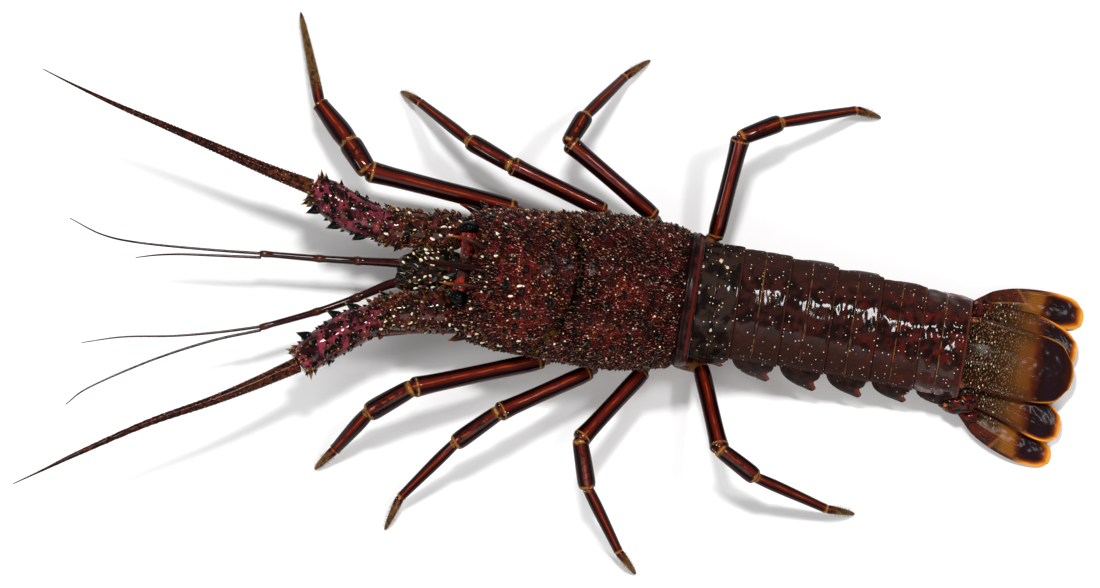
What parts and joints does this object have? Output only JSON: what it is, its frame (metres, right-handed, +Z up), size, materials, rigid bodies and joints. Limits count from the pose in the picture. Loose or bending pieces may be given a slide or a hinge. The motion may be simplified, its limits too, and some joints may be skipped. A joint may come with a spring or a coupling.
{
  "type": "spiny lobster",
  "caption": "Spiny lobster as a still life-size model: spiny shell, long antennae, jointed walking legs and a spread tail fan.",
  "frame": {"origin": "middle of the model's bounding box on the floor it stands on", "axes": "+X from head to tail, +Y to the animal's right side, +Z up"},
  "size_m": [0.4284, 0.2192, 0.0648],
  "materials": {
    "shell": "dark red-brown shell with cream specks, satin gloss",
    "tail_shell": "dark brown glossy shell with cream specks and golden cross lines",
    "antenna": "pink to wine-red spiny shell, satin gloss",
    "feeler": "dark maroon horn, satin",
    "leg": "dark red glossy shell with orange stripes along its length",
    "fan": "amber to blue-black ribbed shell with an orange rim, satin gloss",
    "underside": "pale tan to red shell, satin",
    "eye": "green-black gloss"
  },
  "bodies": {
    "root": {"carapace": "shell", "sternum": "underside", "antennular_plate": "shell", "eye_right": "eye", "maxilliped_right": "underside", "endopod_right": "fan", "exopod_right": "fan", "antenna_right_base": "antenna", "antenna_right_mid": "antenna", "antenna_right_end": "antenna", "antenna_right_flagellum": "feeler", "antennule_right_stem": "feeler", "antennule_right_outer": "feeler", "antennule_right_inner": "feeler", "eye_left": "eye", "maxilliped_left": "underside", "endopod_left": "fan", "exopod_left": "fan", "antenna_left_base": "antenna", "antenna_left_mid": "antenna", "antenna_left_end": "antenna", "antenna_left_flagellum": "feeler", "antennule_left_stem": "feeler", "antennule_left_outer": "feeler", "antennule_left_inner": "feeler", "telson": "fan", "abdomen_1": "tail_shell", "abdomen_2": "tail_shell", "abdomen_3": "tail_shell", "abdomen_4": "tail_shell", "abdomen_5": "tail_shell", "abdomen_6": "tail_shell", "leg_right_1_upper": "leg", "leg_right_1_lower": "leg", "leg_right_2_upper": "leg", "leg_right_2_lower": "leg", "leg_right_3_upper": "leg", "leg_right_3_lower": "leg", "leg_right_4_upper": "leg", "leg_right_4_lower": "leg", "leg_right_5_upper": "leg", "leg_right_5_lower": "leg", "leg_left_1_upper": "leg", "leg_left_1_lower": "leg", "leg_left_2_upper": "leg", "leg_left_2_lower": "leg", "leg_left_3_upper": "leg", "leg_left_3_lower": "leg", "leg_left_4_upper": "leg", "leg_left_4_lower": "leg", "leg_left_5_upper": "leg", "leg_left_5_lower": "leg"}
  },
  "joints": []
}
